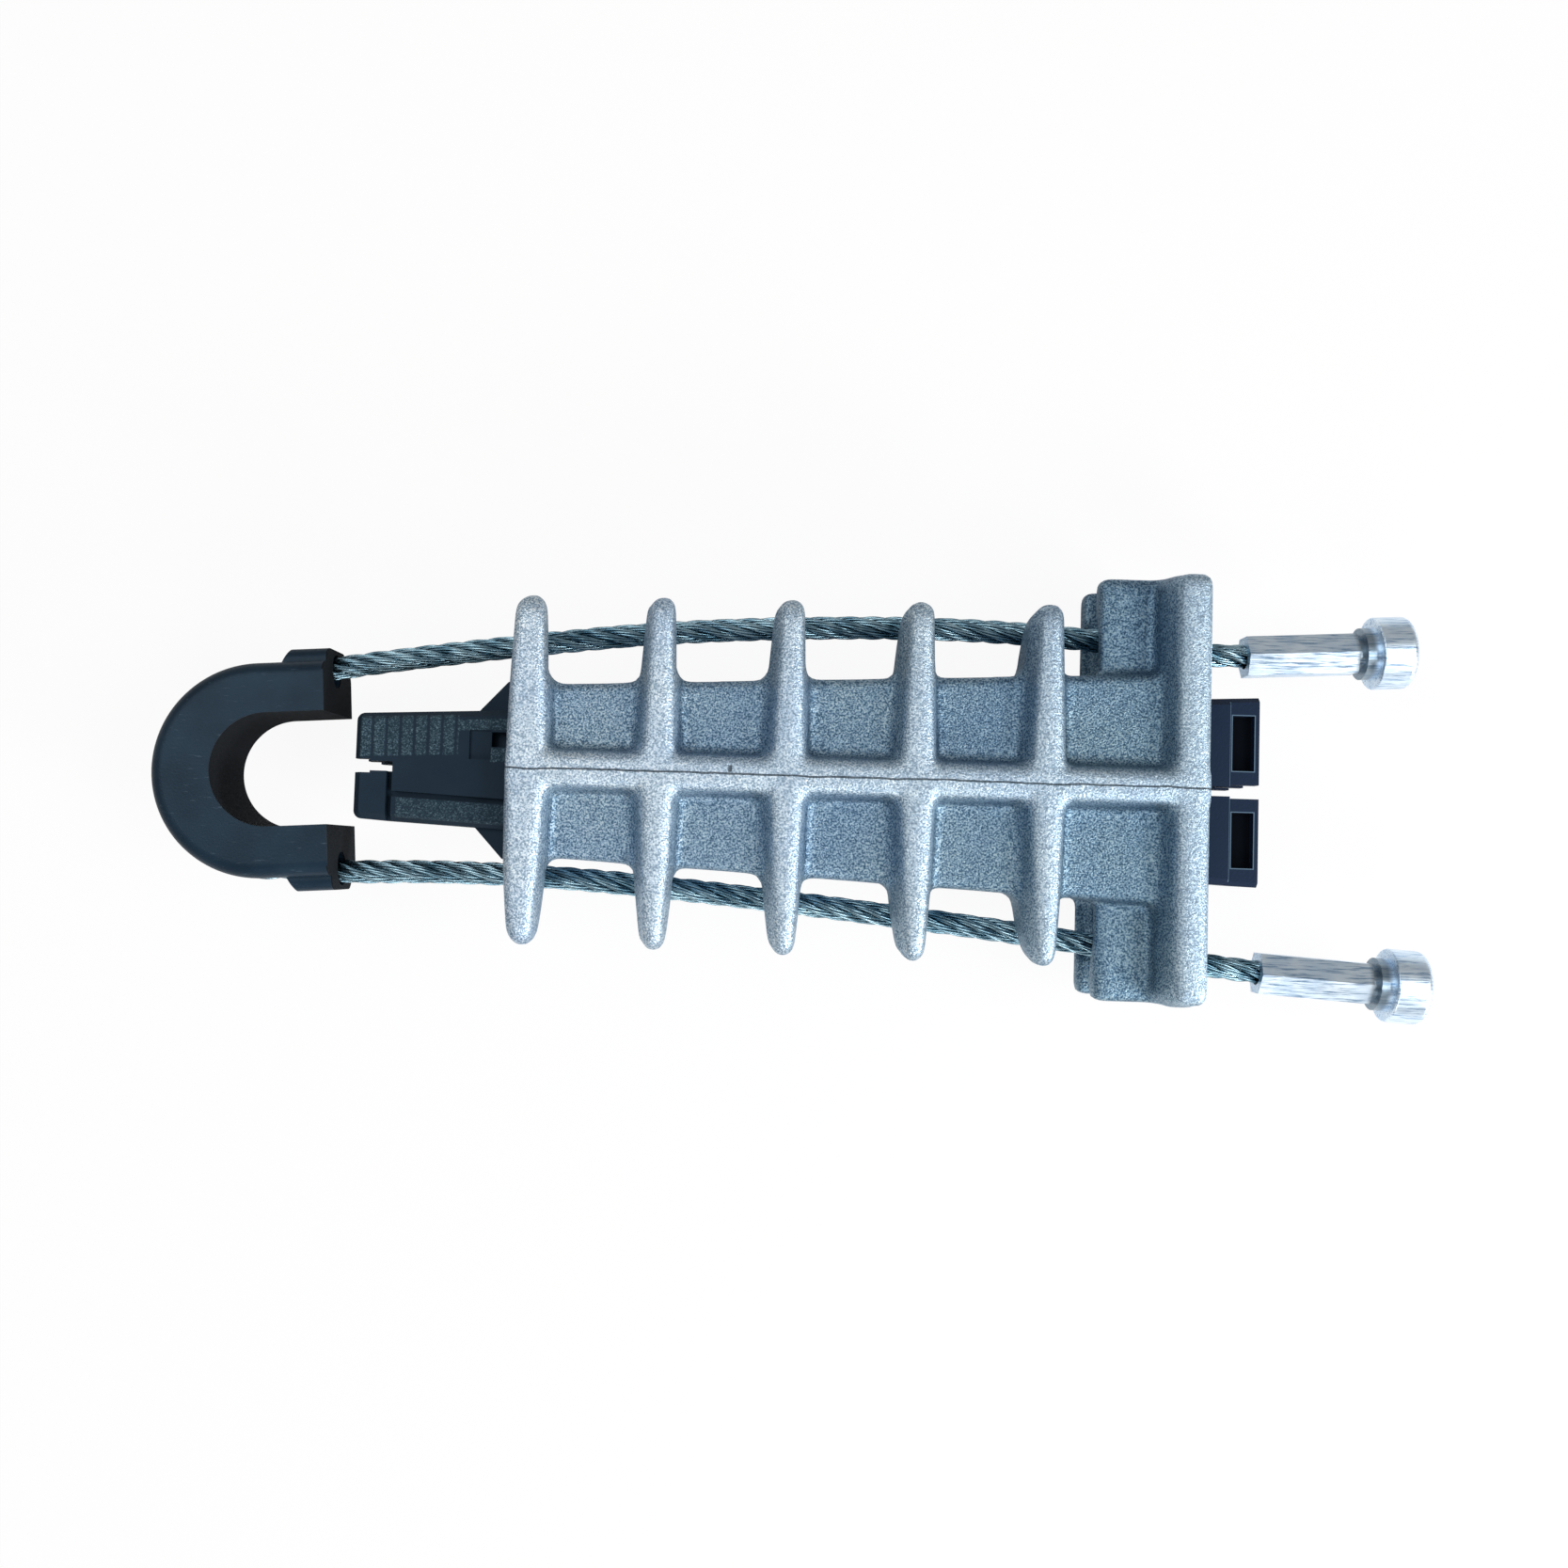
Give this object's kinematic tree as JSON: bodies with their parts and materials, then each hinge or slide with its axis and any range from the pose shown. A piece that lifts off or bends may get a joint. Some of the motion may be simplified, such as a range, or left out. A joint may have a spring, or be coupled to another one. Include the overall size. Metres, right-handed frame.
{
  "type": "wedge strain clamp",
  "caption": "Cast aluminium wedge clamp for bundled cable, with plastic wedge halves, a wire-rope bail and a plastic saddle.",
  "frame": {"origin": "on the cable axis, at the middle of the casting's length and thickness", "axes": "+X along the cable from the narrow end of the casting to its flange, +Y across the two rope legs, +Z through the thickness"},
  "size_m": [0.3199, 0.1096, 0.052],
  "materials": {
    "cast_aluminium": "sand cast, matt",
    "black_plastic": "moulded, satin",
    "saddle_plastic": "moulded, satin",
    "galvanised_steel": "galvanised strand",
    "bright_aluminium": "pressed, bright"
  },
  "bodies": {
    "casting": {"cast_body": "cast_aluminium"},
    "wedge_half_upper": {"wedge_upper": "black_plastic"},
    "wedge_half_lower": {"wedge_lower": "black_plastic"},
    "bail": {"wire_rope": "galvanised_steel", "saddle": "saddle_plastic", "stop_upper": "bright_aluminium", "stop_lower": "bright_aluminium"}
  },
  "joints": [
    {"name": "upper_wedge_slide", "type": "slide", "parent": "casting", "child": "wedge_half_upper", "axis": [-0.9989, -0.0468, 0], "range_m": [-0.0009, 0.009]},
    {"name": "lower_wedge_slide", "type": "slide", "parent": "casting", "child": "wedge_half_lower", "axis": [-0.9989, 0.0468, 0], "range_m": [-0.0009, 0.009]},
    {"name": "bail_slide", "type": "slide", "parent": "casting", "child": "bail", "axis": [-1, 0, 0], "range_m": [0, 0.0434]}
  ],
  "couplings": [
    {"joint": "lower_wedge_slide", "follows": "upper_wedge_slide", "ratio": 1}
  ]
}
